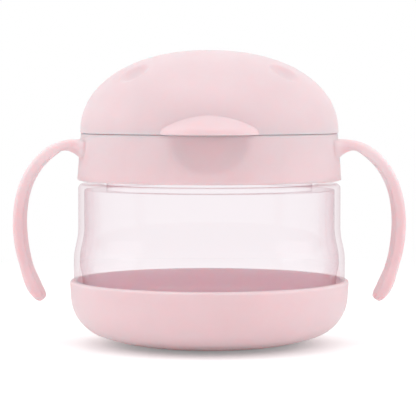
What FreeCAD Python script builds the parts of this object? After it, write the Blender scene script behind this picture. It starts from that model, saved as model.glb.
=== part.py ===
import FreeCAD, Part
import math
import os

# Toddler snack container: a clear cup in a silicone boot, with a screwed collar that carries two
# handles, a ring of soft flaps and a hinged dome lid with a thumb tab shaped like a beak.
# Frame: +Z up, origin on the floor at the centre of the foot, front at -Y, handles at +X and -X.

V = FreeCAD.Vector
UP = V(0, 0, 1)

# ---- driving dimensions, mm ----

# silicone boot; the radii of the pieces above are insets from its radius
boot_radius = 52.0
boot_draft = 0.35
boot_wall = 2.4
boot_height = 24.0
boot_corner_height = 18.5
boot_rim_round = 0.8
foot_radius = 19.6

# clear cup
cup_wall = 2.2
cup_boot_clearance = 0.1
skirt_inset = 1.5
skirt_height = 7.0
flare_height = 13.0
waist_inset = 3.2
waist_height = 14.2
shoulder_round = 1.8
neck_inset = 11.5
neck_height = 11.8

# four-start thread between neck and collar
thread_starts = 4
thread_lead = 24.0
thread_depth = 1.2
thread_root_width = 2.2
thread_crest_width = 1.0
neck_thread_arc = 74.0
collar_thread_arc = 30.0
thread_clearance = 0.3
thread_lowest = 2.6
thread_bite = 0.4

# collar
collar_gap = 1.2
collar_height = 17.4
collar_inset = 2.9
collar_draft = 1.3
collar_wall = 2.2
collar_edge_round = 0.6
deck_thickness = 2.2
thread_sleeve_wall = 1.9
thread_sleeve_recess = 1.0
lip_height = 2.0
lip_wall = 2.0
lip_clearance = 1.0

# finger scoop in the collar's front
scoop_half_width = 23.0
scoop_height = 15.4
scoop_depth = 3.6
scoop_offset = 4.5
scoop_wall = 1.8
scoop_edge_round = 5.0

# handles
handle_reach = 21.5
handle_start_outset = 2.1
handle_thickness = 4.0
handle_root_drop = 2.4
handle_root_thickness = 4.2
handle_drop_above = 30.4
handle_drop_below = 37.3
handle_width = 16.5
handle_tip_width = 14.0
handle_tip_angle = 49.0
handle_tip_arc = 5.0
handle_tip_round = 5.0
handle_outer_round = 1.5
handle_inner_round = 0.7
handle_flare_radius = 13.0
handle_flare_span = 12.0
handle_embed = 0.8
handle_web_radius = 3.3
handle_web_round = 1.2

# spill guard
flap_count = 8
flap_thickness = 1.2
flap_slit = 0.6
flap_hub_radius = 3.0
flap_hinge_gap = 0.3
flap_ring_thickness = 1.5
flap_ring_ledge = 4.3
retainer_thickness = 1.6
ring_clearance = 0.3
seal_clearance = 0.1

# lid
lid_gap = 0.45
lid_overhang = 0.2
lid_wall = 2.4
dome_height = 30.4
dome_exponent = 2.16
lid_rim_round = 0.4
lid_ledge_thickness = 1.6
lid_plug_wall = 1.2
lid_plug_clearance = 0.4
lid_plug_lift = 1.0
lid_seal_thickness = 1.8
lid_seal_gap = 0.2
lid_seal_side_gap = 0.1

# beak
beak_half_width = 17.3
beak_height = 5.8
beak_reach = 9.0
beak_root_inset = 4.0
beak_blend = 3.0

# dimples
dimple_radius = 6.3
dimple_depth = 1.3
dimple_height = 22.3
dimple_azimuth = 49.5

# lid hinge
knuckle_radius = 3.0
knuckle_clearance = 0.3
lid_knuckle_length = 13.4
collar_knuckle_length = 7.0
hinge_outset = 2.4
hinge_gusset_height = 8.5
lid_strap_height = 8.0
pin_radius = 1.25
pin_running_fit = 0.05
pin_press_fit = 0.02

# ---- worked-out places ----

cup_seat_radius = boot_radius - boot_wall - cup_boot_clearance
skirt_radius = boot_radius - skirt_inset
skirt_top = boot_height + skirt_height
waist_radius = boot_radius - waist_inset
waist_bottom = skirt_top + flare_height
shoulder_top = waist_bottom + waist_height + shoulder_round
neck_radius = boot_radius - neck_inset
neck_top = shoulder_top + neck_height
throat_radius = neck_radius - cup_wall
thread_bottom = shoulder_top + thread_lowest

collar_radius = boot_radius - collar_inset
collar_bottom = shoulder_top + collar_gap
collar_top = collar_bottom + collar_height
collar_top_radius = collar_radius - collar_draft
deck_bottom = collar_top - deck_thickness
sleeve_inner = neck_radius + thread_depth + thread_clearance
sleeve_outer = sleeve_inner + thread_sleeve_wall
handle_start_x = collar_radius + handle_start_outset
handle_top_z = collar_top - handle_root_drop
handle_middle_z = handle_top_z - handle_drop_above

lid_radius = collar_top_radius + lid_overhang
lid_bottom = collar_top + lid_gap
lip_radius = lid_radius - lid_wall - lip_clearance
lip_inner = lip_radius - lip_wall
lip_top = collar_top + lip_height
ledge_bottom = lip_top + lid_seal_gap + lid_seal_thickness
plug_outer = lip_inner - lid_plug_clearance
plug_inner = plug_outer - lid_plug_wall

flap_ring_top = deck_bottom
flap_ring_bottom = flap_ring_top - flap_ring_thickness
flap_ring_outer = sleeve_inner - ring_clearance
flap_ring_apothem = throat_radius - flap_ring_ledge
retainer_bottom = flap_ring_bottom - retainer_thickness
flap_axis_z = flap_ring_bottom + flap_ring_thickness / 2
flap_axis_radius = flap_ring_apothem - flap_hinge_gap - flap_thickness / 2
flap_angle = 360.0 / flap_count

hinge_y = collar_top_radius + hinge_outset
hinge_z = collar_top + lid_gap / 2


# ---- drawing helpers, all outlines lie in the XZ plane with x as the radius ----

def at(radius, height):
    return V(radius, 0, height)


def polyline(*points):
    return [Part.LineSegment(a, b).toShape() for a, b in zip(points, points[1:])]


def tangent_arc(start, way, end):
    """Arc that leaves start along way and ends at end."""
    chord = end - start
    along = chord / chord.Length
    lean = way.getAngle(chord)
    if lean < 1e-6:
        return Part.LineSegment(start, end).toShape()
    side = (way - along * way.dot(along)).normalize()
    middle = (start + end) * 0.5 + side * (chord.Length / 2 * math.tan(lean / 2))
    return Part.Arc(start, middle, end).toShape()


def biarc(start, start_way, end, end_way):
    """Two arcs, tangent to each other and to the given directions of travel at both ends."""
    chord = end - start
    run = chord.dot(start_way + end_way)
    bend = 2 * (1 - start_way.dot(end_way))
    if bend < 1e-9:
        reach = chord.dot(chord) / (2 * run)
    else:
        reach = (math.sqrt(run ** 2 + bend * chord.dot(chord)) - run) / bend
    middle = (start + end + (start_way - end_way) * reach) * 0.5
    return [tangent_arc(start, start_way, middle), tangent_arc(end, end_way * -1, middle)]


def oval_point(centre, semi_x, semi_z, turn, exponent):
    """Point and anticlockwise direction on a superellipse, turn in degrees from +X towards +Z."""
    cos, sin = math.cos(math.radians(turn)), math.sin(math.radians(turn))
    x = math.copysign(abs(cos) ** (2 / exponent), cos)
    z = math.copysign(abs(sin) ** (2 / exponent), sin)
    way = V(-math.copysign(abs(z) ** (exponent - 1), z) / semi_z, 0,
            math.copysign(abs(x) ** (exponent - 1), x) / semi_x)
    return centre + V(semi_x * x, 0, semi_z * z), way.normalize()


def oval_arcs(centre, semi_x, semi_z, start, end, exponent=2.0, parts=1):
    """Chain of tangent arcs that follows a superellipse between two turns."""
    edges = []
    sign = 1 if end > start else -1
    turns = [start + (end - start) * step / parts for step in range(parts + 1)]
    stations = [oval_point(centre, semi_x, semi_z, turn, exponent) for turn in turns]
    for (near, near_way), (far, far_way) in zip(stations, stations[1:]):
        edges += biarc(near, near_way * sign, far, far_way * sign)
    return edges


def s_curve(lower, upper):
    """S-curve between two upright walls, upright at both ends."""
    return biarc(lower, V(0, 0, 1), upper, V(0, 0, 1))


def revolve(edges):
    """Solid of revolution about the cup's axis from the edges of a closed outline."""
    wire = Part.Wire(Part.__sortEdges__(edges))
    return Part.Face(wire).revolve(V(0, 0, 0), UP, 360)


def ring(inner, outer, bottom, top):
    tall = top - bottom
    return Part.makeCylinder(outer, tall, at(0, bottom)).cut(
        Part.makeCylinder(inner, tall, at(0, bottom)))


def round_edges(shape, radius, wanted):
    """Fillets the circular edges named by (radius, height)."""
    edges = [
        edge for edge in shape.Edges
        if hasattr(edge.Curve, "Radius")
        and any(abs(edge.Curve.Radius - r) < 1e-3 and abs(edge.CenterOfMass.z - z) < 1e-3
                for r, z in wanted)
    ]
    return shape.makeFillet(radius, edges)


def ellipsoid(centre, semi_x, semi_y, semi_z):
    stretch = FreeCAD.Matrix()
    stretch.scale(semi_x, semi_y, semi_z)
    ball = Part.makeSphere(1.0).transformGeometry(stretch)
    ball.translate(centre)
    return ball


def dome(radius, height, base, skirt=0.0):
    """Solid dome on a cylindrical skirt."""
    edges = oval_arcs(at(0, base), radius, height, 0, 90, dome_exponent, 2)
    edges += polyline(at(0, base + height), at(0, base - skirt), at(radius, base - skirt))
    if skirt > 0:
        edges += polyline(at(radius, base - skirt), at(radius, base))
    return revolve(edges)


def spun(shape, angle):
    copy = shape.copy()
    copy.rotate(V(0, 0, 0), UP, angle)
    return copy


# ---- pieces ----

def boot_outline(inset):
    """Outline of the boot's outside, or of a surface inset from it, up to the rim."""
    rim = boot_radius - inset
    side = rim - boot_draft
    corner = oval_arcs(at(foot_radius, boot_corner_height), side - foot_radius,
                       boot_corner_height - inset, -90, 0)
    return corner + polyline(at(side, boot_corner_height), at(rim, boot_height),
                             at(0, boot_height), at(0, inset), at(foot_radius, inset))


def make_base_boot():
    outside = revolve(boot_outline(0.0))
    boot = outside.cut(revolve(boot_outline(boot_wall)))
    return round_edges(boot, boot_rim_round, [(boot_radius, boot_height)])


def cup_outline(inset):
    """Outline of the cup from the bottom to the neck; inset 0 is outside, cup_wall is inside."""
    seat = boot_wall + cup_boot_clearance + inset
    rim = cup_seat_radius - inset
    side = rim - boot_draft
    skirt = skirt_radius - inset
    waist = waist_radius - inset
    shoulder = shoulder_top - inset
    round_r = max(shoulder_round - inset, 0.4)
    neck = neck_radius - inset
    edges = oval_arcs(at(foot_radius, boot_corner_height), side - foot_radius,
                      boot_corner_height - seat, -90, 0)
    edges += polyline(at(side, boot_corner_height), at(rim, boot_height))
    if inset == 0:
        edges += polyline(at(rim, boot_height), at(skirt, boot_height), at(skirt, skirt_top))
    else:
        edges += s_curve(at(rim, boot_height), at(skirt, skirt_top))
    edges += s_curve(at(skirt, skirt_top), at(waist, waist_bottom))
    corner = at(waist - round_r, shoulder - round_r)
    edges += polyline(at(waist, waist_bottom), at(waist, corner.z))
    edges.append(tangent_arc(at(waist, corner.z), V(0, 0, 1), at(corner.x, shoulder)))
    edges += polyline(at(corner.x, shoulder), at(neck, shoulder), at(neck, neck_top),
                      at(0, neck_top), at(0, seat), at(foot_radius, seat))
    return edges


def thread_ridge(root_radius, depth, bottom, start, arc):
    """One helical thread ridge on a wall; a negative depth points at the axis."""
    steps = 6
    root = root_radius - math.copysign(thread_bite, depth)
    crest = root_radius + depth
    sections = []
    for step in range(steps + 1):
        turn = start + arc * step / steps
        section = Part.makePolygon([at(root, -thread_root_width / 2),
                                    at(crest, -thread_crest_width / 2),
                                    at(crest, thread_crest_width / 2),
                                    at(root, thread_root_width / 2),
                                    at(root, -thread_root_width / 2)])
        section.translate(at(0, bottom + thread_lead * turn / 360))
        section.rotate(V(0, 0, 0), UP, turn)
        sections.append(section)
    return Part.makeLoft(sections, True, False)


def thread(root_radius, depth, bottom, start, arc):
    ridge = thread_ridge(root_radius, depth, bottom, start, arc)
    return [spun(ridge, 360.0 * index / thread_starts) for index in range(thread_starts)]


def make_clear_cup():
    cup = revolve(cup_outline(0.0)).cut(revolve(cup_outline(cup_wall)))
    return cup.fuse(thread(neck_radius, thread_depth, thread_bottom, 0.0, neck_thread_arc))


def scoop_body(margin):
    """Ellipsoid that hollows the collar's front; margin grows it by the wall behind it."""
    centre_y = collar_top_radius + scoop_offset
    reach = scoop_offset + scoop_depth + margin
    return ellipsoid(V(0, -centre_y, collar_top), scoop_half_width + margin, reach,
                     scoop_height + margin)


def make_collar_shell():
    """Outside of the collar as one solid, with the scoop hollowed and its edges softened."""
    shell = revolve(polyline(at(0, collar_bottom), at(collar_radius, collar_bottom),
                             at(collar_top_radius, collar_top), at(0, collar_top),
                             at(0, collar_bottom)))
    shell = shell.cut(scoop_body(0.0)).Solids[0]
    rim = [edge for edge in shell.Edges
           if edge.BoundBox.ZLength > scoop_height / 2 and edge.BoundBox.YMax < -scoop_half_width]
    shell = shell.makeFillet(scoop_edge_round, rim)
    flat = [edge for edge in shell.Edges if edge.BoundBox.ZLength < collar_edge_round / 10]
    return shell.makeFillet(collar_edge_round, flat)


def handle_station(turn):
    """Centre, outward direction and thickness of the handle at an angle round its oval."""
    outer_drop, inner_drop = handle_drop_below, handle_drop_below - handle_thickness
    if turn >= 0:
        outer_drop, inner_drop = handle_drop_above, handle_drop_above - handle_root_thickness
    cos, sin = math.cos(math.radians(turn)), math.sin(math.radians(turn))
    outer = V(handle_start_x + handle_reach * cos, 0, handle_middle_z + outer_drop * sin)
    inner = V(handle_start_x + (handle_reach - handle_thickness) * cos, 0,
              handle_middle_z + inner_drop * sin)
    across = outer - inner
    thickness = across.Length
    return (outer + inner) * 0.5, across.normalize(), thickness


def rounded_section(centre, across, thickness, width, outer_round, inner_round):
    """Closed section of the handle, with the outer edges rounder than the inner ones.

    across points from the inner face to the outer one, and the width lies along Y."""
    half_t, half_w = thickness / 2, width / 2
    corners = [(-half_t, -half_w, inner_round), (half_t, -half_w, outer_round),
               (half_t, half_w, outer_round), (-half_t, half_w, inner_round)]

    def place(u, v):
        return centre + across * u + V(0, v, 0)

    arcs = []
    for u, v, r in corners:
        inward_u = u - math.copysign(r, u)
        inward_v = v - math.copysign(r, v)
        bulge = r * (1 - math.sqrt(0.5))
        middle = place(u - math.copysign(bulge, u), v - math.copysign(bulge, v))
        ends = [place(u, inward_v), place(inward_u, v)]
        if u * v < 0:
            ends.reverse()
        arcs.append((ends[0], middle, ends[1]))
    edges = []
    for index, (first, middle, last) in enumerate(arcs):
        edges.append(Part.Arc(first, middle, last).toShape())
        edges.append(Part.LineSegment(last, arcs[(index + 1) % 4][0]).toShape())
    return Part.Wire(edges)


def rise(radius, run):
    """Height that a concave arc gains over a run from its tangent point."""
    run = min(max(run, 0.0), radius)
    return radius - math.sqrt(radius ** 2 - run ** 2)


def make_handle():
    """Right-hand strap, from inside the collar's wall round to its free tip."""
    sections = []

    def add(centre, across, thickness, width, shrink=1.0, inner_round=handle_inner_round):
        sections.append(rounded_section(centre, across, thickness, width,
                                        handle_outer_round * shrink, inner_round * shrink))

    flare_start = collar_radius + handle_flare_span - handle_web_radius
    for outset in (-handle_embed, 0.0, 2.4):
        x = collar_radius - handle_web_radius + outset
        drop = rise(handle_web_radius, handle_start_x - x)
        thickness = handle_root_thickness + drop
        flare = rise(handle_flare_radius, flare_start - max(x, collar_radius - handle_web_radius))
        add(V(x, 0, handle_top_z - thickness / 2), V(0, 0, 1), thickness, handle_width + 2 * flare,
            inner_round=handle_inner_round + drop * handle_web_round)
    turns = [90, 65, 40, 15, -15, -32, -handle_tip_angle]
    for turn in turns:
        centre, across, thickness = handle_station(turn)
        width = handle_width + (handle_tip_width - handle_width) * max(-turn, 0.0) / handle_tip_angle
        add(centre, across, thickness, width + 2 * rise(handle_flare_radius, flare_start - centre.x))
    for step in (40, 72):
        sin, cos = math.sin(math.radians(step)), math.cos(math.radians(step))
        centre, across, thickness = handle_station(-handle_tip_angle - handle_tip_arc * sin)
        add(centre, across, thickness * cos, handle_tip_width - 2 * handle_tip_round * (1 - cos), cos)
    return Part.makeLoft(sections, True, False)


def hinge_barrel(radius, start, length):
    return Part.makeCylinder(radius, length, V(start, hinge_y, hinge_z), V(1, 0, 0))


def hinge_web(points, start, length):
    """Web of a hinge knuckle, from an outline of (y, z) points."""
    corners = [V(start, y, z) for y, z in points]
    return Part.Face(Part.makePolygon(corners + corners[:1])).extrude(V(length, 0, 0))


def make_handle_collar():
    sleeve = collar_bottom + thread_sleeve_recess
    slope = collar_draft / collar_height
    handle = make_handle()
    collar = make_collar_shell().fuse([handle, spun(handle, 180)])
    side = lid_knuckle_length / 2 + knuckle_clearance
    barrel_back = hinge_y + knuckle_radius
    web = [(collar_top_radius - collar_wall / 2, hinge_z), (barrel_back, hinge_z),
           (collar_radius - collar_wall / 2, hinge_z - hinge_gusset_height),
           (collar_top_radius - collar_wall / 2, hinge_z - hinge_gusset_height)]
    for start in (side, -side - collar_knuckle_length):
        collar = collar.fuse([hinge_barrel(knuckle_radius, start, collar_knuckle_length),
                              hinge_web(web, start, collar_knuckle_length)])
    collar = collar.cut(hinge_barrel(knuckle_radius + knuckle_clearance, -side, 2 * side))
    pocket = revolve(polyline(
        at(sleeve_outer, collar_bottom), at(collar_radius - collar_wall, collar_bottom),
        at(collar_top_radius - collar_wall + slope * deck_thickness, deck_bottom),
        at(sleeve_outer, deck_bottom), at(sleeve_outer, collar_bottom)))
    collar = collar.cut([
        pocket.cut(scoop_body(scoop_wall)),
        Part.makeCylinder(sleeve_outer, thread_sleeve_recess, at(0, collar_bottom)),
        Part.makeCylinder(sleeve_inner, deck_bottom - sleeve, at(0, sleeve)),
        Part.makeCylinder(throat_radius, deck_thickness, at(0, deck_bottom))])
    lug_start = neck_thread_arc - collar_thread_arc - 2.0
    lug_bottom = thread_bottom - thread_root_width - thread_clearance
    collar = collar.fuse([ring(lip_inner, lip_radius, collar_top, lip_top)]
                         + thread(sleeve_inner, -thread_depth, lug_bottom, lug_start,
                                  collar_thread_arc))
    pin_hole = hinge_barrel(pin_radius + pin_press_fit, -side - collar_knuckle_length,
                            2 * (side + collar_knuckle_length))
    return collar.cut(pin_hole)


def make_flap_ring():
    """Silicone ring with a many-sided bore, one flat for the root of each flap."""
    corner = flap_ring_apothem / math.cos(math.pi / flap_count)
    corners = [V(corner * math.cos(math.radians((index + 0.5) * flap_angle)),
                 corner * math.sin(math.radians((index + 0.5) * flap_angle)), flap_ring_bottom)
               for index in range(flap_count + 1)]
    bore = Part.Face(Part.makePolygon(corners)).extrude(V(0, 0, flap_ring_thickness))
    disc = Part.makeCylinder(flap_ring_outer, flap_ring_thickness, at(0, flap_ring_bottom))
    return disc.cut(bore)


def make_flap():
    """Flap in the +X direction, a wedge with a rounded root that it hinges on."""
    spread = math.tan(math.pi / flap_count)
    slit = flap_slit / 2 / math.cos(math.pi / flap_count)
    bottom = flap_axis_z - flap_thickness / 2
    tip = slit / spread
    half_root = (flap_axis_radius - flap_thickness / 2) * spread - slit
    corners = [V(tip, 0, bottom), V(flap_axis_radius, -half_root, bottom),
               V(flap_axis_radius, half_root, bottom), V(tip, 0, bottom)]
    wedge = Part.Face(Part.makePolygon(corners)).extrude(V(0, 0, flap_thickness))
    root = Part.makeCylinder(flap_thickness / 2, 2 * half_root,
                             V(flap_axis_radius, -half_root, flap_axis_z), V(0, 1, 0))
    hub = Part.makeCylinder(flap_hub_radius, flap_thickness, at(0, bottom))
    return wedge.fuse(root).cut(hub)


def make_lid_outside():
    """Solid dome with the beak blended in above, and a softened rim."""
    skirt = 2 * beak_height
    beak = ellipsoid(V(0, -(lid_radius - beak_root_inset), lid_bottom), beak_half_width,
                     beak_root_inset + beak_reach, beak_height)
    outside = dome(lid_radius, dome_height, lid_bottom, skirt).fuse(beak).Solids[0]
    seam = [edge for edge in outside.Edges
            if edge.BoundBox.ZLength > beak_height / 4 and edge.BoundBox.YMax < -lid_radius / 2]
    outside = outside.makeFillet(beak_blend, seam)
    below = Part.makeCylinder(2 * lid_radius, 2 * skirt, at(0, lid_bottom - 2 * skirt))
    outside = outside.cut(below).Solids[0]
    rim = [edge for edge in outside.Edges if edge.BoundBox.ZMax < lid_bottom + 0.01]
    return outside.makeFillet(lid_rim_round, rim)


def dimple(azimuth):
    """Ball that presses a shallow round dimple into the dome."""
    power = dome_exponent
    share = (dimple_height / dome_height) ** power
    radius = lid_radius * (1 - share) ** (1 / power)
    outward = V((radius / lid_radius) ** (power - 1) / lid_radius, 0,
                (dimple_height / dome_height) ** (power - 1) / dome_height).normalize()
    ball_radius = (dimple_radius ** 2 + dimple_depth ** 2) / (2 * dimple_depth)
    centre = at(radius, lid_bottom + dimple_height) + outward * (ball_radius - dimple_depth)
    return spun(Part.makeSphere(ball_radius, centre), azimuth)


def make_lid():
    """Dome with the beak and dimples, the seal's ledge and plug, and the middle knuckle."""
    half = lid_knuckle_length / 2
    lid = make_lid_outside()
    strap_y = lid_radius - lid_wall / 2
    barrel_back = hinge_y + knuckle_radius
    web = [(strap_y, lid_bottom), (strap_y, lid_bottom + lid_strap_height),
           (lid_radius - lid_wall / 4, lid_bottom + lid_strap_height),
           (barrel_back, hinge_z + lid_gap), (barrel_back, hinge_z), (hinge_y, hinge_z)]
    lid = lid.fuse([hinge_barrel(knuckle_radius, -half, lid_knuckle_length),
                    hinge_web(web, -half, lid_knuckle_length)])
    cavity = dome(lid_radius - lid_wall, dome_height - lid_wall, lid_bottom)
    lid = lid.cut([cavity, dimple(-90 - dimple_azimuth), dimple(-90 + dimple_azimuth)])
    ledge = Part.makeCylinder(lid_radius, lid_ledge_thickness, at(0, ledge_bottom)).common(
        dome(lid_radius - lid_wall / 2, dome_height - lid_wall / 2, lid_bottom))
    plug_bottom = lid_bottom + lid_plug_lift
    plug = ring(plug_inner, plug_outer, plug_bottom, ledge_bottom + lid_ledge_thickness)
    ledge = ledge.cut(Part.makeCylinder(plug_inner, lid_ledge_thickness, at(0, ledge_bottom)))
    lid = lid.fuse([ledge, plug])
    outer = half + knuckle_clearance
    notch = collar_knuckle_length + knuckle_clearance
    relief = knuckle_radius + knuckle_clearance
    return lid.cut([
        hinge_barrel(relief, half, notch + knuckle_clearance),
        hinge_barrel(relief, -outer - notch, notch + knuckle_clearance),
        hinge_barrel(pin_radius + pin_running_fit, -half, lid_knuckle_length)])


def make_lid_seal():
    """Silicone ring between the plug and the lid's wall, pressed on the collar's lip."""
    share = 1 - ((ledge_bottom - lid_bottom) / (dome_height - lid_wall)) ** dome_exponent
    wall = (lid_radius - lid_wall) * share ** (1 / dome_exponent)
    return ring(plug_outer + lid_seal_side_gap, wall - lid_seal_side_gap,
                ledge_bottom - lid_seal_thickness, ledge_bottom)


def make_hinge_pin():
    half = lid_knuckle_length / 2 + knuckle_clearance + collar_knuckle_length
    return hinge_barrel(pin_radius, -half, 2 * half)


def make_parts():
    parts = {
        "base_boot": make_base_boot(),
        "clear_cup": make_clear_cup(),
        "neck_seal": ring(throat_radius + ring_clearance, sleeve_inner - 2 * ring_clearance,
                          neck_top + seal_clearance, retainer_bottom - seal_clearance),
        "handle_collar": make_handle_collar(),
        "flap_retainer": ring(throat_radius - ring_clearance, sleeve_inner - ring_clearance,
                              retainer_bottom, flap_ring_bottom),
        "flap_ring": make_flap_ring(),
        "hinge_pin": make_hinge_pin(),
        "lid": make_lid(),
        "lid_seal": make_lid_seal(),
    }
    flap = make_flap()
    for index in range(flap_count):
        parts[f"flap_{index + 1}"] = spun(flap, index * flap_angle)
    return parts


os.makedirs("parts", exist_ok=True)
for name, shape in make_parts().items():
    if shape.ShapeType == "Compound" and len(shape.Solids) == 1:
        shape = shape.Solids[0]
    shape.exportStep(f"parts/{name}.step")
    print(name, shape.isValid(), len(shape.Solids), round(shape.Volume, 1))
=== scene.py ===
import math

import bmesh
import bpy
import numpy as np
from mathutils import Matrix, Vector


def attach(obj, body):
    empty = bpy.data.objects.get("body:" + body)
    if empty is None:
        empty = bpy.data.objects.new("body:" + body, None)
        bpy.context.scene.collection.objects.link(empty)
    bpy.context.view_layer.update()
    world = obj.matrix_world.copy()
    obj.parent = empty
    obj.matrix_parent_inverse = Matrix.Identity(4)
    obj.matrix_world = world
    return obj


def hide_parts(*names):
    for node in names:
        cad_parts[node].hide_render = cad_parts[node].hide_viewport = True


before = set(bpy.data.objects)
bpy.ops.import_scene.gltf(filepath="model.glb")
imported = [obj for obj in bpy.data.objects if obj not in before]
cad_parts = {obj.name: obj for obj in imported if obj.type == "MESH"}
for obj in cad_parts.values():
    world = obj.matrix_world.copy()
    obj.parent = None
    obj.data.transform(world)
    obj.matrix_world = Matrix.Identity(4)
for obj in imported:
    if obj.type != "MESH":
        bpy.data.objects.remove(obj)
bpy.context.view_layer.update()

CLEAR_WALLS_CROSSED = 32  # clear surfaces that a ray may pass on its way
bpy.context.scene.cycles.transparent_max_bounces = CLEAR_WALLS_CROSSED

# The construction's lengths are in millimetres, the scene's in metres.
TO_METRES = 0.001
TO_MILLIMETRES = 1000.0

# ---------------------------------------------------------------- colours
# sRGB values, turned to linear by linear().
SHELL_PINK = (237, 213, 217)
COLLAR_PINK = (243, 214, 218)
# painted light: a paler pink for the straps' tops, standing in for the light they catch from above
STRAP_TOP_PAINTED_LIGHT = (243, 227, 230)
BOOT_PINK = (241, 213, 217)
# painted light: a paler pink for the boot's inner side, standing in for light that reaches it
# through the wall
BOOT_INSIDE_PAINTED_LIGHT = (254, 236, 239)
FLAP_PINK = (232, 190, 198)
SEAL_WHITE = (236, 228, 226)
CLEAR_FACE_ON = (254, 252, 253)
# painted reflection: the pink that the cup's clear wall takes on towards its edges
CLEAR_EDGE_PAINTED_REFLECTION = (246, 230, 234)
STEEL_LIGHT = (205, 205, 207)
STEEL_DARK = (188, 188, 191)


def linear(rgb):
    """sRGB 0-255 to linear 0-1, with alpha."""
    channels = []
    for value in rgb:
        c = value / 255.0
        if c <= 0.04045:
            channels.append(c / 12.92)
        else:
            channels.append(((c + 0.055) / 1.055) ** 2.4)
    return (*channels, 1.0)


def shade(rgb, factor):
    """A colour a little darker or lighter than rgb."""
    return tuple(max(0, min(255, value * factor)) for value in rgb)


# -------------------------------------------------------------- materials
def new_material(name):
    """A material with its tree and one Principled shader, joined to the output."""
    material = bpy.data.materials.new(name)
    material.use_nodes = True
    tree = material.node_tree
    tree.nodes.clear()
    output = tree.nodes.new("ShaderNodeOutputMaterial")
    shader = tree.nodes.new("ShaderNodeBsdfPrincipled")
    tree.links.new(shader.outputs["BSDF"], output.inputs["Surface"])
    return material, tree, shader


def noise(tree, scale, detail=3.0, roughness=0.5):
    """Noise in object space, scale in features per metre."""
    place = tree.nodes.new("ShaderNodeTexCoord")
    texture = tree.nodes.new("ShaderNodeTexNoise")
    texture.inputs["Scale"].default_value = scale
    texture.inputs["Detail"].default_value = detail
    texture.inputs["Roughness"].default_value = roughness
    tree.links.new(place.outputs["Object"], texture.inputs["Vector"])
    return texture.outputs["Fac"]


def ramp(tree, source, start, end, low=0.0, high=1.0):
    """Goes from low at start to high at end."""
    node = tree.nodes.new("ShaderNodeMapRange")
    node.inputs["From Min"].default_value = start
    node.inputs["From Max"].default_value = end
    node.inputs["To Min"].default_value = low
    node.inputs["To Max"].default_value = high
    tree.links.new(source, node.inputs["Value"])
    return node.outputs["Result"]


NOISE_RANGE = (0.3, 0.7)  # where nearly all of a noise's values lie


def spread(tree, source, low, high):
    """Maps a noise onto low to high."""
    return ramp(tree, source, *NOISE_RANGE, low, high)


def blend_colours(tree, factor, first, second):
    """Turns from the first colour to the second by factor; the first may be a socket."""
    node = tree.nodes.new("ShaderNodeMix")
    node.data_type = "RGBA"
    if isinstance(first, tuple):
        node.inputs["A"].default_value = linear(first)
    else:
        tree.links.new(first, node.inputs["A"])
    node.inputs["B"].default_value = linear(second)
    tree.links.new(factor, node.inputs["Factor"])
    return node.outputs["Result"]


def tint(tree, source, light, dark):
    """Blends two colours by a noise."""
    return blend_colours(tree, spread(tree, source, 0.0, 1.0), light, dark)


def combine(tree, operation, first, second):
    """Joins two sockets by a Math operation."""
    node = tree.nodes.new("ShaderNodeMath")
    node.operation = operation
    tree.links.new(first, node.inputs[0])
    tree.links.new(second, node.inputs[1])
    return node.outputs["Value"]


def aside_and_height(tree):
    """Distance from the plane X = 0, and height, both in metres."""
    place = tree.nodes.new("ShaderNodeTexCoord")
    split = tree.nodes.new("ShaderNodeSeparateXYZ")
    tree.links.new(place.outputs["Object"], split.inputs["Vector"])
    aside = tree.nodes.new("ShaderNodeMath")
    aside.operation = "ABSOLUTE"
    tree.links.new(split.outputs["X"], aside.inputs[0])
    return aside.outputs["Value"], split.outputs["Z"]


# Metres from the middle plane. The straps leave the collar's sides between the two spans.
ROOT_SPAN = (0.040, 0.046)  # here the collar's rounding grows to the root's
STRAP_SPAN = (0.051, 0.057)  # and here the root's shrinks to the strap's
ROOT_SOFTNESS = 2.8  # rounding at the root, as a multiple of the collar's
STRAP_CRISPNESS = 3.0  # the collar's rounding, as a multiple of the strap's
ROUNDING_SAMPLES = 6


def bump(tree, shader, source, strength, distance, rounding=0.0):
    """Fine relief on the shader's normal, over edges rounded by rounding metres at the
    collar, more where the straps grow out of it and a third of that on the straps."""
    node = tree.nodes.new("ShaderNodeBump")
    if rounding:
        soft = tree.nodes.new("ShaderNodeBevel")
        soft.samples = ROUNDING_SAMPLES
        aside = aside_and_height(tree)[0]
        at_root = rounding * ROOT_SOFTNESS
        growing = ramp(tree, aside, *ROOT_SPAN, rounding, at_root)
        shrinking = ramp(tree, aside, *STRAP_SPAN, at_root, rounding / STRAP_CRISPNESS)
        tree.links.new(combine(tree, "MINIMUM", growing, shrinking), soft.inputs["Radius"])
        tree.links.new(soft.outputs["Normal"], node.inputs["Normal"])
    node.inputs["Strength"].default_value = strength
    node.inputs["Distance"].default_value = distance
    tree.links.new(source, node.inputs["Height"])
    tree.links.new(node.outputs["Normal"], shader.inputs["Normal"])


MOTTLE_SCALE = 55.0  # noise scales are in features per metre
MOTTLE_DARKEST = 0.985
GLOSS_SCALE = 190.0
GLOSS_DETAIL = 4.0
GRAIN_DETAIL = 2.0
GRAIN_ROUGHNESS = 0.6
GRAIN_STRENGTH = 0.35
GRAIN_DEPTH = 0.00003
PLASTIC_IOR = 1.49
GLOW_COLOUR = (1.0, 0.45, 0.42)  # red light soaks deepest
SHEEN_ROUGHNESS = 0.5


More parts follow.
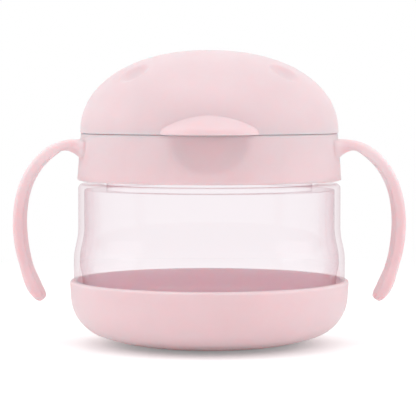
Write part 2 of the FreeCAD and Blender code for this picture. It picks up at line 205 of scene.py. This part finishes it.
def moulded(name, colour, roughness, variation, grain_scale, glow_depth, sheen=0.0, rounding=0.0):
    """Satin moulded plastic or silicone: faint mottling, uneven gloss, fine grain, and
    light that soaks about glow_depth metres into it."""
    material, tree, shader = new_material(name)
    cloud = noise(tree, MOTTLE_SCALE)
    colour_out = tint(tree, cloud, colour, shade(colour, MOTTLE_DARKEST))
    tree.links.new(colour_out, shader.inputs["Base Color"])
    gloss = noise(tree, GLOSS_SCALE, GLOSS_DETAIL)
    gloss_out = spread(tree, gloss, roughness - variation, roughness + variation)
    tree.links.new(gloss_out, shader.inputs["Roughness"])
    grain = noise(tree, grain_scale, GRAIN_DETAIL, GRAIN_ROUGHNESS)
    bump(tree, shader, grain, GRAIN_STRENGTH, GRAIN_DEPTH, rounding)
    shader.inputs["IOR"].default_value = PLASTIC_IOR
    shader.inputs["Subsurface Weight"].default_value = 1.0
    shader.inputs["Subsurface Radius"].default_value = GLOW_COLOUR
    shader.inputs["Subsurface Scale"].default_value = glow_depth
    shader.inputs["Sheen Weight"].default_value = sheen
    shader.inputs["Sheen Roughness"].default_value = SHEEN_ROUGHNESS
    return material


def colour_in_use(material):
    """A moulded material's tree, its shader's colour input and what feeds it now."""
    tree = material.node_tree
    shader = next(node for node in tree.nodes if node.type == "BSDF_PRINCIPLED")
    socket = shader.inputs["Base Color"]
    return tree, socket, socket.links[0].from_socket


# where the painted light on the straps' tops lies
PAINTED_LIGHT_ASIDE = (0.050, 0.060)  # metres from the middle plane
PAINTED_LIGHT_HEIGHT = (0.050, 0.072)


def painted_light_on_strap_tops(material, colour):
    """Paints light on the straps: fades to a paler colour where they leave the collar and arch
    over, a painted highlight for the top light they catch.
    """
    tree, socket, base = colour_in_use(material)
    aside, height = aside_and_height(tree)
    by_side = ramp(tree, aside, *PAINTED_LIGHT_ASIDE)
    by_height = ramp(tree, height, *PAINTED_LIGHT_HEIGHT)
    share = combine(tree, "MULTIPLY", by_side, by_height)
    tree.links.new(blend_colours(tree, share, base, colour), socket)


def painted_light_inside(material, colour, middle):
    """Paints light on a bowl's inner side: a paler colour that stands in for the light soaking in
    through its thin wall.
    """
    tree, socket, outside = colour_in_use(material)
    place = tree.nodes.new("ShaderNodeTexCoord")
    facing = tree.nodes.new("ShaderNodeNewGeometry")
    away = tree.nodes.new("ShaderNodeVectorMath")
    away.operation = "SUBTRACT"
    tree.links.new(place.outputs["Object"], away.inputs[0])
    away.inputs[1].default_value = middle
    along = tree.nodes.new("ShaderNodeVectorMath")
    along.operation = "DOT_PRODUCT"
    tree.links.new(facing.outputs["True Normal"], along.inputs[0])
    tree.links.new(away.outputs["Vector"], along.inputs[1])
    inward = tree.nodes.new("ShaderNodeMath")
    inward.operation = "LESS_THAN"
    inward.inputs[1].default_value = 0.0
    tree.links.new(along.outputs["Value"], inward.inputs[0])
    share = inward.outputs["Value"]
    tree.links.new(blend_colours(tree, share, outside, colour), socket)


EDGE_POWER = 4.0  # how fast the mirror and the colour grow towards the cup's edges
EDGE_MIRROR = 0.5
FACE_MIRROR = 0.025
HAZE_SCALE = 120.0
HAZE_LOW, HAZE_HIGH = 0.02, 0.09
RIPPLE_SCALE = 35.0
RIPPLE_DETAIL = 1.0
RIPPLE_STRENGTH = 0.25
RIPPLE_DEPTH = 0.0003


def clear_plastic(name, face_on, edge_painted_reflection):
    """Water-clear copolyester: it shows what it holds and mirrors more at its edges,
    where it also turns pink, a painted reflection of the pink parts round it."""
    material, tree, shader = new_material(name)
    tree.nodes.remove(shader)
    facing = tree.nodes.new("ShaderNodeLayerWeight")
    facing.inputs["Blend"].default_value = 0.5
    steep = tree.nodes.new("ShaderNodeMath")
    steep.operation = "POWER"
    steep.inputs[1].default_value = EDGE_POWER
    tree.links.new(facing.outputs["Facing"], steep.inputs[0])
    # painted reflection: towards the edges the see-through colour turns pink, for the pink parts
    # mirrored in the wall
    colour = blend_colours(tree, steep.outputs["Value"], face_on, edge_painted_reflection)
    see_through = tree.nodes.new("ShaderNodeBsdfTransparent")
    tree.links.new(colour, see_through.inputs["Color"])
    mirror = tree.nodes.new("ShaderNodeBsdfGlossy")
    haze = noise(tree, HAZE_SCALE)
    tree.links.new(spread(tree, haze, HAZE_LOW, HAZE_HIGH), mirror.inputs["Roughness"])
    ripple = noise(tree, RIPPLE_SCALE, RIPPLE_DETAIL)
    bump(tree, mirror, ripple, RIPPLE_STRENGTH, RIPPLE_DEPTH)
    share = tree.nodes.new("ShaderNodeMath")
    share.operation = "MULTIPLY_ADD"
    tree.links.new(steep.outputs["Value"], share.inputs[0])
    share.inputs[1].default_value = EDGE_MIRROR
    share.inputs[2].default_value = FACE_MIRROR
    mix = tree.nodes.new("ShaderNodeMixShader")
    tree.links.new(share.outputs["Value"], mix.inputs["Fac"])
    tree.links.new(see_through.outputs["BSDF"], mix.inputs[1])
    tree.links.new(mirror.outputs["BSDF"], mix.inputs[2])
    path = tree.nodes.new("ShaderNodeLightPath")
    lit_through = tree.nodes.new("ShaderNodeBsdfTransparent")
    lit_through.inputs["Color"].default_value = linear(face_on)
    lamp_way = tree.nodes.new("ShaderNodeMixShader")
    tree.links.new(path.outputs["Is Shadow Ray"], lamp_way.inputs["Fac"])
    tree.links.new(mix.outputs["Shader"], lamp_way.inputs[1])
    tree.links.new(lit_through.outputs["BSDF"], lamp_way.inputs[2])
    output = next(node for node in tree.nodes if node.type == "OUTPUT_MATERIAL")
    tree.links.new(lamp_way.outputs["Shader"], output.inputs["Surface"])
    return material


DRAWING_SCALE = 2400.0
DRAWING_DETAIL = 2.0
DRAWING_STRENGTH = 0.2
DRAWING_DEPTH = 0.00001
STEEL_GLOSS = (0.22, 0.36)


def steel(name):
    """Bright drawn steel wire with faint marks."""
    material, tree, shader = new_material(name)
    shader.inputs["Metallic"].default_value = 1.0
    marks = noise(tree, DRAWING_SCALE, DRAWING_DETAIL)
    tree.links.new(tint(tree, marks, STEEL_LIGHT, STEEL_DARK), shader.inputs["Base Color"])
    tree.links.new(spread(tree, marks, *STEEL_GLOSS), shader.inputs["Roughness"])
    bump(tree, shader, marks, DRAWING_STRENGTH, DRAWING_DEPTH)
    return material


PLASTIC = {"roughness": 0.42, "variation": 0.04, "grain_scale": 5200.0, "glow_depth": 0.0035}
SILICONE = {"variation": 0.05, "grain_scale": 7000.0}
THIN_SILICONE = {**SILICONE, "roughness": 0.5, "glow_depth": 0.004, "sheen": 0.05}
COLLAR_ROUNDING = 0.0018
BOOT_MIDDLE = (0.0, 0.0, 0.012)

lid_plastic = moulded("lid_plastic", SHELL_PINK, **PLASTIC)
collar_plastic = moulded("collar_plastic", COLLAR_PINK, **PLASTIC, rounding=COLLAR_ROUNDING)
# painted light: the straps' tops are painted paler, as a highlight from above
painted_light_on_strap_tops(collar_plastic, STRAP_TOP_PAINTED_LIGHT)
boot_silicone = moulded("boot_silicone", BOOT_PINK, **SILICONE, roughness=0.55,
                        glow_depth=0.005, sheen=0.35)
# painted light: the boot's inner side is painted paler, in place of the light it lacks
painted_light_inside(boot_silicone, BOOT_INSIDE_PAINTED_LIGHT, BOOT_MIDDLE)
flap_silicone = moulded("flap_silicone", FLAP_PINK, **THIN_SILICONE)
seal_silicone = moulded("seal_silicone", SEAL_WHITE, **THIN_SILICONE)
# the cup's edges carry a painted pink reflection
cup_clear = clear_plastic("cup_clear", CLEAR_FACE_ON, CLEAR_EDGE_PAINTED_REFLECTION)
pin_steel = steel("pin_steel")

NODE_MATERIALS = {
    "base_boot": boot_silicone,
    "clear_cup": cup_clear,
    "handle_collar": collar_plastic,
    "lid": lid_plastic,
    "neck_seal": seal_silicone,
    "lid_seal": seal_silicone,
    "flap_ring": flap_silicone,
    "flap_retainer": collar_plastic,
    "hinge_pin": pin_steel,
}
FLAPS = 8
for number in range(1, FLAPS + 1):
    NODE_MATERIALS[f"flap_{number}"] = flap_silicone
for node_name, material in NODE_MATERIALS.items():
    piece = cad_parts[node_name]
    for material_slot in piece.material_slots:
        material_slot.material = material

# --------------------------------------------------------------- the lid
# Millimetres, as in the construction; scaled to metres when the mesh is made.
LID_BOTTOM = 78.70
LID_RADIUS = 48.0
LID_WALL = 2.4
DOME_HEIGHT = 30.75
DOME_POWER = 2.16
RIM_ROUND = 0.45
BEAK_CENTRE = (0.0, -44.0)
BEAK_SEMI = (17.2, 12.8)
BEAK_LIP = 1.8
BEAK_RISE = 5.3
BEAK_ROUND = 1.1
BEAK_CREASE = 0.35
DIMPLE_TURN = 51.0
DIMPLE_HEIGHT = 22.3
DIMPLE_RADIUS = 6.2
DIMPLE_DEPTH = 2.2
DIMPLE_EDGE = 0.6
PLUG_BOTTOM = 80.05
LEDGE_BOTTOM = 82.6
LEDGE_TOP = 84.2
LEDGE_CORNER = 0.3
PLUG_OUTER = 42.2
PLUG_INNER = 41.0
PLUG_CORNER = 0.4
RIM_DEPTH = 1.5
CAVITY_STEPS = 32
SHELL_EYE = 5.0  # how far over the lid's bottom the rays start that find the shell
SHELL_NEAR = 10.0
SHELL_FAR = 90.0
SHELL_HALVINGS = 44
EDGE_ANGLE = 40.0  # degrees; sharper edges stay crisp
BEAK_REACH = 1.6  # the beak's field is followed this far out, in its own half-widths
TINY = 1e-6

HINGE_Y = 50.2
HINGE_Z = 78.825
KNUCKLE_RADIUS = 3.0
KNUCKLE_HALF = 6.7
KNUCKLE_BEVEL = 0.35
BEVEL_SEGMENTS = 3
BARREL_STEP = 9.0  # degrees
BARREL_POINTS = 21
ARM_BACK = 46.9  # inside the lid's wall
ARM_BEND = 47.3
ARM_REACH = 5.9
ARM_LOW = 79.25
ARM_TOP = 87.05
ARM_END = 0.6  # over the hinge's axis
ARM_STEPS = 8
ARM_SAG = 0.9
ARM_SAG_WAY = (0.8, 0.6)  # inwards and down
SAME_PLACE = 1e-7  # metres


def smooth_least(a, b, k):
    """Union of two distance fields, blended over k."""
    h = np.clip(0.5 + 0.5 * (b - a) / k, 0.0, 1.0)
    return b + (a - b) * h - k * h * (1.0 - h)


def smooth_most(a, b, k):
    """Common part of two distance fields, blended over k."""
    return -smooth_least(-a, -b, k)


def dome_field(x, y, z):
    """Nearly the distance to the dome's superellipse of revolution."""
    r = np.maximum(np.hypot(x, y), TINY) / LID_RADIUS
    t = np.maximum(z - LID_BOTTOM, TINY) / DOME_HEIGHT
    g = (r ** DOME_POWER + t ** DOME_POWER) ** (1.0 / DOME_POWER)
    slope_r = (r / g) ** (DOME_POWER - 1.0) / LID_RADIUS
    slope_t = (t / g) ** (DOME_POWER - 1.0) / DOME_HEIGHT
    return (g - 1.0) / np.hypot(slope_r, slope_t)


def beak_field(x, y, z):
    """Nearly the distance to the beak: a low vault over an ellipse, with a rounded lip."""
    flat = np.hypot((x - BEAK_CENTRE[0]) / BEAK_SEMI[0], (y - BEAK_CENTRE[1]) / BEAK_SEMI[1])
    flat = np.clip(flat, TINY, BEAK_REACH)
    slope = 2.0 * BEAK_RISE * flat / BEAK_SEMI[1]
    top = z - LID_BOTTOM - BEAK_LIP - BEAK_RISE * (1.0 - flat ** 2)
    return smooth_most(top / np.hypot(1.0, slope), (flat - 1.0) * BEAK_SEMI[1], BEAK_ROUND)


def dimple_ball(side):
    """Centre and radius of the ball that presses one dimple."""
    share = (DIMPLE_HEIGHT / DOME_HEIGHT) ** DOME_POWER
    radius = LID_RADIUS * (1.0 - share) ** (1.0 / DOME_POWER)
    out_r = (radius / LID_RADIUS) ** (DOME_POWER - 1.0) / LID_RADIUS
    out_z = (DIMPLE_HEIGHT / DOME_HEIGHT) ** (DOME_POWER - 1.0) / DOME_HEIGHT
    length = math.hypot(out_r, out_z)
    ball = (DIMPLE_RADIUS ** 2 + DIMPLE_DEPTH ** 2) / (2.0 * DIMPLE_DEPTH)
    reach = radius + out_r / length * (ball - DIMPLE_DEPTH)
    height = LID_BOTTOM + DIMPLE_HEIGHT + out_z / length * (ball - DIMPLE_DEPTH)
    turn = math.radians(DIMPLE_TURN)
    return (side * reach * math.sin(turn), -reach * math.cos(turn), height), ball


def lid_field(x, y, z):
    """Nearly the distance to the outside of the lid."""
    field = smooth_least(dome_field(x, y, z), beak_field(x, y, z), BEAK_CREASE)
    for side in (-1, 1):
        (cx, cy, cz), ball = dimple_ball(side)
        hollow = ball - np.sqrt((x - cx) ** 2 + (y - cy) ** 2 + (z - cz) ** 2)
        field = smooth_most(field, hollow, DIMPLE_EDGE)
    return smooth_most(field, LID_BOTTOM - z, RIM_ROUND)


def steps(*spans):
    """Joined even steps: each span is (first, last, count)."""
    values = []
    for first, last, count in spans:
        values.extend(np.linspace(first, last, count, endpoint=False))
    values.append(spans[-1][1])
    return np.array(values)


def grid_mesh(name, rows, pole):
    """Mesh from rows of points in millimetres, each row a ring; pole closes the first row."""
    rows = np.asarray(rows, dtype=float)
    count, around = rows.shape[:2]
    verts = [tuple(v) for v in rows.reshape(-1, 3) * TO_METRES]
    faces = []
    for i in range(count - 1):
        this, after = i * around, (i + 1) * around
        for j in range(around):
            k = (j + 1) % around
            faces.append((this + j, after + j, after + k, this + k))
    verts.append(tuple(value * TO_METRES for value in pole))
    faces.extend((len(verts) - 1, j, (j + 1) % around) for j in range(around))
    mesh = bpy.data.meshes.new(name)
    mesh.from_pydata(verts, [], faces)
    mesh.validate()
    return mesh


def put(name, mesh, material, sharp=None):
    """Links a mesh as an object, smooth shaded, with edges over sharp degrees kept crisp."""
    piece = bpy.data.objects.new(name, mesh)
    bpy.context.scene.collection.objects.link(piece)
    mesh.polygons.foreach_set("use_smooth", [True] * len(mesh.polygons))
    if sharp is not None:
        mesh.set_sharp_from_angle(angle=math.radians(sharp))
    mesh.materials.append(material)
    return piece


def outward(mesh, flip=False):
    """Makes the faces of a mesh agree, facing out, or in if flip is set."""
    work = bmesh.new()
    work.from_mesh(mesh)
    bmesh.ops.recalc_face_normals(work, faces=work.faces)
    if flip:
        bmesh.ops.reverse_faces(work, faces=work.faces)
    work.to_mesh(mesh)
    work.free()


def halve(low, high, outside, times):
    """Closes in on where outside turns true between low and high; returns the inner end."""
    for _ in range(times):
        middle = (low + high) / 2.0
        beyond = outside(middle)
        high = np.where(beyond, middle, high)
        low = np.where(beyond, low, middle)
    return low


def make_lid_shell():
    """Outside of the lid, found along rays from a point low in the dome, down to its inner rim."""
    centre_z = LID_BOTTOM + SHELL_EYE
    inner = LID_RADIUS - LID_WALL
    lowest = -math.degrees(math.atan(SHELL_EYE / inner))
    # Degrees, closer together round the beak and the dimples.
    turns = steps((-180.0, -64.0, 46), (-64.0, 64.0, 214), (64.0, 180.0, 46))[:-1]
    lifts = steps((87.5, 38.0, 19), (38.0, 17.0, 32), (17.0, 11.0, 6), (11.0, -3.6, 42),
                  (-3.6, lowest, 24))
    turn, lift = np.meshgrid(np.radians(turns), np.radians(lifts))
    way = (np.sin(turn) * np.cos(lift), -np.cos(turn) * np.cos(lift), np.sin(lift))

    def outside(reach):
        return lid_field(way[0] * reach, way[1] * reach, way[2] * reach + centre_z) > 0.0

    near = np.full(turn.shape, SHELL_NEAR)
    near = halve(near, np.full(turn.shape, SHELL_FAR), outside, SHELL_HALVINGS)
    rows = np.stack([way[0] * near, way[1] * near, way[2] * near + centre_z], axis=-1)
    rows[..., 2] = np.maximum(rows[..., 2], LID_BOTTOM)
    return grid_mesh("lid_shell", rows, pole=(0.0, 0.0, LID_BOTTOM + DOME_HEIGHT))


def lathe(name, profile, around=144):
    """Revolves (radius, height) points about the axis."""
    angles = np.linspace(0.0, 2.0 * math.pi, around, endpoint=False)
    rows = [[(r * math.cos(a), r * math.sin(a), z) for a in angles] for r, z in profile]
    return grid_mesh(name, rows, pole=(0.0, 0.0, profile[0][1]))


def inner_dome(height):
    """Radius of the lid's cavity at a height."""
    share = 1.0 - ((height - LID_BOTTOM) / (DOME_HEIGHT - LID_WALL)) ** DOME_POWER
    return (LID_RADIUS - LID_WALL) * max(share, 0.0) ** (1.0 / DOME_POWER)


def make_lid_inside():
    """Cavity, ledge and plug ring of the lid as one revolved skin."""
    top = LID_BOTTOM + DOME_HEIGHT - LID_WALL
    profile = []
    for step in range(1, CAVITY_STEPS + 1):
        height = top - (top - LEDGE_TOP) * (1.0 - math.cos(math.pi / 2 * step / CAVITY_STEPS))
        profile.append((inner_dome(height), height))
    profile += [(PLUG_INNER + LEDGE_CORNER, LEDGE_TOP), (PLUG_INNER, LEDGE_TOP - LEDGE_CORNER),
                (PLUG_INNER, PLUG_BOTTOM + PLUG_CORNER), (PLUG_INNER + PLUG_CORNER, PLUG_BOTTOM),
                (PLUG_OUTER - PLUG_CORNER, PLUG_BOTTOM), (PLUG_OUTER, PLUG_BOTTOM + PLUG_CORNER),
                (PLUG_OUTER, LEDGE_BOTTOM), (inner_dome(LEDGE_BOTTOM), LEDGE_BOTTOM),
                (inner_dome(LID_BOTTOM + RIM_DEPTH), LID_BOTTOM + RIM_DEPTH),
                (LID_RADIUS - LID_WALL, LID_BOTTOM)]
    return lathe("lid_inside", profile)


def prism(name, outline, half, bevel):
    """Extrudes a (y, z) outline to both sides of X = 0 and rounds its end edges."""
    work = bmesh.new()
    left = [work.verts.new((-half * TO_METRES, y * TO_METRES, z * TO_METRES)) for y, z in outline]
    face = work.faces.new(left)
    grown = bmesh.ops.extrude_face_region(work, geom=[face])
    moved = [item for item in grown["geom"] if isinstance(item, bmesh.types.BMVert)]
    bmesh.ops.translate(work, verts=moved, vec=(2.0 * half * TO_METRES, 0.0, 0.0))
    rims = [edge for edge in work.edges
            if abs(edge.verts[0].co.x - edge.verts[1].co.x) < SAME_PLACE]
    bmesh.ops.bevel(work, geom=rims, offset=bevel * TO_METRES, segments=BEVEL_SEGMENTS,
                    profile=0.5, affect="EDGES")
    bmesh.ops.recalc_face_normals(work, faces=work.faces)
    mesh = bpy.data.meshes.new(name)
    work.to_mesh(mesh)
    work.free()
    return mesh


def make_lid_knuckle():
    """Arm and barrel of the lid's middle knuckle."""
    outline = [(ARM_BACK, ARM_LOW), (ARM_BACK, ARM_TOP), (ARM_BEND, ARM_TOP)]
    drop = ARM_TOP - HINGE_Z - ARM_END
    for step in range(1, ARM_STEPS):
        share = step / ARM_STEPS
        sag = ARM_SAG * math.sin(math.pi * share)
        outline.append((ARM_BEND + ARM_REACH * share - sag * ARM_SAG_WAY[0],
                        ARM_TOP - drop * share - sag * ARM_SAG_WAY[1]))
    for step in range(BARREL_POINTS):
        angle = math.radians(-BARREL_STEP * step)
        outline.append((HINGE_Y + KNUCKLE_RADIUS * math.cos(angle),
                        HINGE_Z + KNUCKLE_RADIUS * math.sin(angle)))
    return prism("lid_knuckle", outline, KNUCKLE_HALF, KNUCKLE_BEVEL)


lid_shell_mesh = make_lid_shell()
outward(lid_shell_mesh)
lid_shell = put("lid_shell", lid_shell_mesh, lid_plastic)
lid_inside_mesh = make_lid_inside()
outward(lid_inside_mesh, flip=True)
lid_inside = put("lid_inside", lid_inside_mesh, lid_plastic, EDGE_ANGLE)
lid_knuckle = put("lid_knuckle", make_lid_knuckle(), lid_plastic, EDGE_ANGLE)
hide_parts("lid")
for piece in (lid_shell, lid_inside, lid_knuckle):
    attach(piece, "lid_body")

# ------------------------------------------------------- the handles' tips
# Millimetres in X and Z: a point on the strap's middle line near its end, the way along
# the strap to the tip, and the way out through its outer side.
TIP_PLACE = np.array((63.993, 19.159))
TIP_ALONG = np.array((-0.53634, -0.84400))
TIP_OUT = np.array((0.84400, -0.53634))
TIP_START = -2.4  # where the rounding starts, along the strap from TIP_PLACE
TIP_LENGTH = 5.75
TIP_BLEND = 2.0
TIP_HALF = 2.0
TIP_HALF_POWER = 2.6
TIP_WIDE = 7.7
TIP_WIDE_POWER = 3.2
TIP_EDGE = 1.2
TIP_SHIFT = 0.3
TIP_ZONE_ALONG = 6.0  # points within these belong to a tip
TIP_ZONE_OUT = 4.0
TIP_ZONE_HEIGHT = 30.0
TIP_FAR = 12.0
TIP_HALVINGS = 40
NORMAL_DIGITS = 4  # points that agree to this many digits of a millimetre share a normal
NORMAL_LIMIT = 0.3
NO_LENGTH = 1e-12


def tip_field(along, out, wide):
    """Nearly the distance to a strap's rounded end, in its own directions."""
    t = np.clip((along - TIP_START) / TIP_LENGTH, 0.0, 1.0)
    half = TIP_HALF * (1.0 - t ** TIP_HALF_POWER) ** (1.0 / TIP_HALF_POWER)
    width = TIP_WIDE * (1.0 - t ** TIP_WIDE_POWER) ** (1.0 / TIP_WIDE_POWER)
    edge = np.minimum(TIP_EDGE, half)
    thick = np.abs(out + TIP_SHIFT * t ** 2) - half + edge
    broad = np.abs(wide) - width + edge
    corner = np.hypot(np.maximum(thick, 0.0), np.maximum(broad, 0.0))
    inside = corner + np.minimum(np.maximum(thick, broad), 0.0) - edge
    return np.where(along > TIP_START + TIP_LENGTH, 1.0, inside)


def round_tips(points):
    """Moves the points of both straps' ends onto a rounder end; returns which moved."""
    side = np.sign(points[:, 0])
    off = np.stack([np.abs(points[:, 0]), points[:, 2]], axis=1) - TIP_PLACE
    along, out, wide = off @ TIP_ALONG, off @ TIP_OUT, points[:, 1]
    near_tip = (along > TIP_START) & (along < TIP_ZONE_ALONG)
    near_tip &= (np.abs(out) < TIP_ZONE_OUT) & (points[:, 2] < TIP_ZONE_HEIGHT)
    chosen = np.nonzero(near_tip)[0]
    way = np.stack([along[chosen] - TIP_START, out[chosen], wide[chosen]], axis=1)

    def outside(reach):
        return tip_field(way[:, 0] * reach + TIP_START, way[:, 1] * reach, way[:, 2] * reach) > 0.0

    low = np.zeros(len(chosen))
    low = halve(low, np.full(len(chosen), TIP_FAR), outside, TIP_HALVINGS)
    share = np.clip(way[:, 0] / TIP_BLEND, 0.0, 1.0)
    share = (share * share * (3.0 - 2.0 * share))[:, None]
    moved = way * (1.0 - share) + way * low[:, None] * share
    flat = TIP_PLACE + (moved[:, :1] + TIP_START) * TIP_ALONG + moved[:, 1:2] * TIP_OUT
    result = points.copy()
    result[chosen, 0] = side[chosen] * flat[:, 0]
    result[chosen, 1] = moved[:, 2]
    result[chosen, 2] = flat[:, 1]
    return result, near_tip


def smooth_normals(points, corners, moved, old):
    """Corner normals of a triangle mesh: rounded afresh where points moved, as before elsewhere."""
    triangles = corners.reshape(-1, 3)
    a, b, c = (points[triangles[:, k]] for k in range(3))
    area = np.cross(b - a, c - a)
    size = np.maximum(np.linalg.norm(area, axis=1, keepdims=True), NO_LENGTH)
    plain = area / size
    keys, place = np.unique(np.round(points, NORMAL_DIGITS), axis=0, return_inverse=True)
    place = place.reshape(-1)
    total = np.zeros((len(keys), 3))
    for k in range(3):
        np.add.at(total, place[triangles[:, k]], area)
    total /= np.maximum(np.linalg.norm(total, axis=1, keepdims=True), NO_LENGTH)
    rounded = total[place[corners]]
    flat = np.repeat(plain, 3, axis=0)
    agree = (rounded * flat).sum(axis=1, keepdims=True) > NORMAL_LIMIT
    rounded = np.where(agree, rounded, flat)
    return np.where(moved[corners][:, None], rounded, old)


def make_collar():
    """The collar as built, with the straps' free ends rounded like a fingertip."""
    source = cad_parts["handle_collar"]
    mesh = source.data.copy()
    turn = np.array(source.matrix_world)
    points = np.empty(len(mesh.vertices) * 3)
    mesh.vertices.foreach_get("co", points)
    points = points.reshape(-1, 3) @ turn[:3, :3].T + turn[:3, 3]
    old = np.empty(len(mesh.loops) * 3)
    mesh.corner_normals.foreach_get("vector", old)
    old = old.reshape(-1, 3) @ turn[:3, :3].T
    corners = np.empty(len(mesh.loops), dtype=np.int32)
    mesh.loops.foreach_get("vertex_index", corners)
    placed, moved = round_tips(points * TO_MILLIMETRES)
    normals = smooth_normals(placed, corners, moved, old)
    mesh.transform(source.matrix_world)
    mesh.vertices.foreach_set("co", (placed * TO_METRES).ravel())
    mesh.update()
    mesh.normals_split_custom_set([tuple(n) for n in normals])
    piece = bpy.data.objects.new("rounded_collar", mesh)
    bpy.context.scene.collection.objects.link(piece)
    for material_slot in piece.material_slots:
        material_slot.material = collar_plastic
    return piece


collar = make_collar()
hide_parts("handle_collar")
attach(collar, "collar_body")

# ------------------------------------------------------ floor and backdrop
FLOOR_HALF = 3.0  # metres
FLOOR_COLOUR = 0.92
FLOOR_LIFT = 0.24  # glow that is added where the floor is seen, so that its shadow is light
FADE_START = 0.12  # metres from the axis
FADE_END = 0.40
AMBIENT = 0.96
AMBIENT_FRONT = 0.76
AMBIENT_SPAN = (-1.0, 0.3)  # from straight in front, in Y of the direction


def seen_directly(tree):
    """1 for rays that show the background: camera, glossy and transmission."""
    path = tree.nodes.new("ShaderNodeLightPath")
    value = path.outputs["Is Camera Ray"]
    for kind in ("Is Glossy Ray", "Is Transmission Ray"):
        value = combine(tree, "MAXIMUM", value, path.outputs[kind])
    return value


def smooth_ramp(tree, source, start, end, low=0.0, high=1.0):
    """As ramp, with soft ends."""
    result = ramp(tree, source, start, end, low, high)
    result.node.interpolation_type = "SMOOTHSTEP"
    return result


def white_glow(tree):
    """Emission of strength 1, which shows as white unless something drives its strength."""
    node = tree.nodes.new("ShaderNodeEmission")
    node.inputs["Strength"].default_value = 1.0
    return node


def make_floor():
    """A large pale floor: it keeps the object's soft shadow and fades to white away from it."""
    mesh = bpy.data.meshes.new("studio_floor")
    half = FLOOR_HALF
    corners = [(-half, -half, 0), (half, -half, 0), (half, half, 0), (-half, half, 0)]
    mesh.from_pydata(corners, [], [(0, 1, 2, 3)])
    floor = bpy.data.objects.new("studio_floor", mesh)
    bpy.context.scene.collection.objects.link(floor)
    material = bpy.data.materials.new("studio_floor")
    material.use_nodes = True
    tree = material.node_tree
    tree.nodes.clear()
    output = tree.nodes.new("ShaderNodeOutputMaterial")
    diffuse = tree.nodes.new("ShaderNodeBsdfDiffuse")
    diffuse.inputs["Color"].default_value = (FLOOR_COLOUR, FLOOR_COLOUR, FLOOR_COLOUR, 1.0)
    seen = seen_directly(tree)
    near = tree.nodes.new("ShaderNodeAddShader")
    tree.links.new(diffuse.outputs["BSDF"], near.inputs[0])
    lift = white_glow(tree)
    tree.links.new(ramp(tree, seen, 0.0, 1.0, 0.0, FLOOR_LIFT), lift.inputs["Strength"])
    tree.links.new(lift.outputs["Emission"], near.inputs[1])
    place = tree.nodes.new("ShaderNodeTexCoord")
    distance = tree.nodes.new("ShaderNodeVectorMath")
    distance.operation = "LENGTH"
    tree.links.new(place.outputs["Object"], distance.inputs[0])
    fade = smooth_ramp(tree, distance.outputs["Value"], FADE_START, FADE_END)
    mix = tree.nodes.new("ShaderNodeMixShader")
    tree.links.new(combine(tree, "MULTIPLY", seen, fade), mix.inputs["Fac"])
    tree.links.new(near.outputs["Shader"], mix.inputs[1])
    tree.links.new(white_glow(tree).outputs["Emission"], mix.inputs[2])
    tree.links.new(mix.outputs["Shader"], output.inputs["Surface"])
    mesh.materials.append(material)


def make_world():
    """White where it is seen, and a plain soft light for all else, weaker from the front."""
    world = bpy.data.worlds.new("studio_world")
    bpy.context.scene.world = world
    world.use_nodes = True
    tree = world.node_tree
    tree.nodes.clear()
    output = tree.nodes.new("ShaderNodeOutputWorld")
    sky = tree.nodes.new("ShaderNodeBackground")
    sky.inputs["Color"].default_value = (1.0, 1.0, 1.0, 1.0)
    level = ramp(tree, seen_directly(tree), 0.0, 1.0)
    place = tree.nodes.new("ShaderNodeTexCoord")
    split = tree.nodes.new("ShaderNodeSeparateXYZ")
    tree.links.new(place.outputs["Generated"], split.inputs["Vector"])
    dim = smooth_ramp(tree, split.outputs["Y"], *AMBIENT_SPAN, AMBIENT_FRONT, AMBIENT)
    tree.links.new(dim, level.node.inputs["To Min"])
    tree.links.new(level, sky.inputs["Strength"])
    tree.links.new(sky.outputs["Background"], output.inputs["Surface"])


make_floor()
make_world()


# ----------------------------------------------------------------- lights
# Metres and watts.
SOFTBOX_SIZE = 0.9
OBJECT_MIDDLE = (0.0, 0.0, 0.055)


def softbox(name, place, watts):
    """A square softbox that points at the object's middle."""
    lamp = bpy.data.lights.new(name, "AREA")
    lamp.shape = "SQUARE"
    lamp.size = SOFTBOX_SIZE
    lamp.energy = watts
    box = bpy.data.objects.new(name, lamp)
    box.location = place
    aim = Vector(OBJECT_MIDDLE) - Vector(place)
    box.rotation_euler = aim.to_track_quat("-Z", "Y").to_euler()
    bpy.context.scene.collection.objects.link(box)


softbox("top", (-0.1, -0.25, 1.3), 2.6)
softbox("left", (-1.15, -0.2, 0.6), 1.5)
softbox("right", (1.15, -0.2, 0.6), 1.7)

# ----------------------------------------------------------------- camera
SENSOR = 36.0  # millimetres
FOCAL_PIXELS = 2000.0
IMAGE_PIXELS = 416.0
CAMERA_PLACE = (-0.0005, -0.745, 0.0909)
CAMERA_TARGET = (-0.0005, 0.0, 0.0507)
CLIP_START, CLIP_END = 0.05, 20.0
camera_data = bpy.data.cameras.new("camera")
camera_data.sensor_width = SENSOR
camera_data.lens = SENSOR * FOCAL_PIXELS / IMAGE_PIXELS
camera_data.clip_start = CLIP_START
camera_data.clip_end = CLIP_END
camera = bpy.data.objects.new("camera", camera_data)
camera.location = CAMERA_PLACE
camera_aim = Vector(CAMERA_TARGET) - camera.location
camera.rotation_euler = camera_aim.to_track_quat("-Z", "Y").to_euler()
bpy.context.scene.collection.objects.link(camera)
bpy.context.scene.camera = camera
bpy.context.scene.view_settings.view_transform = "Standard"
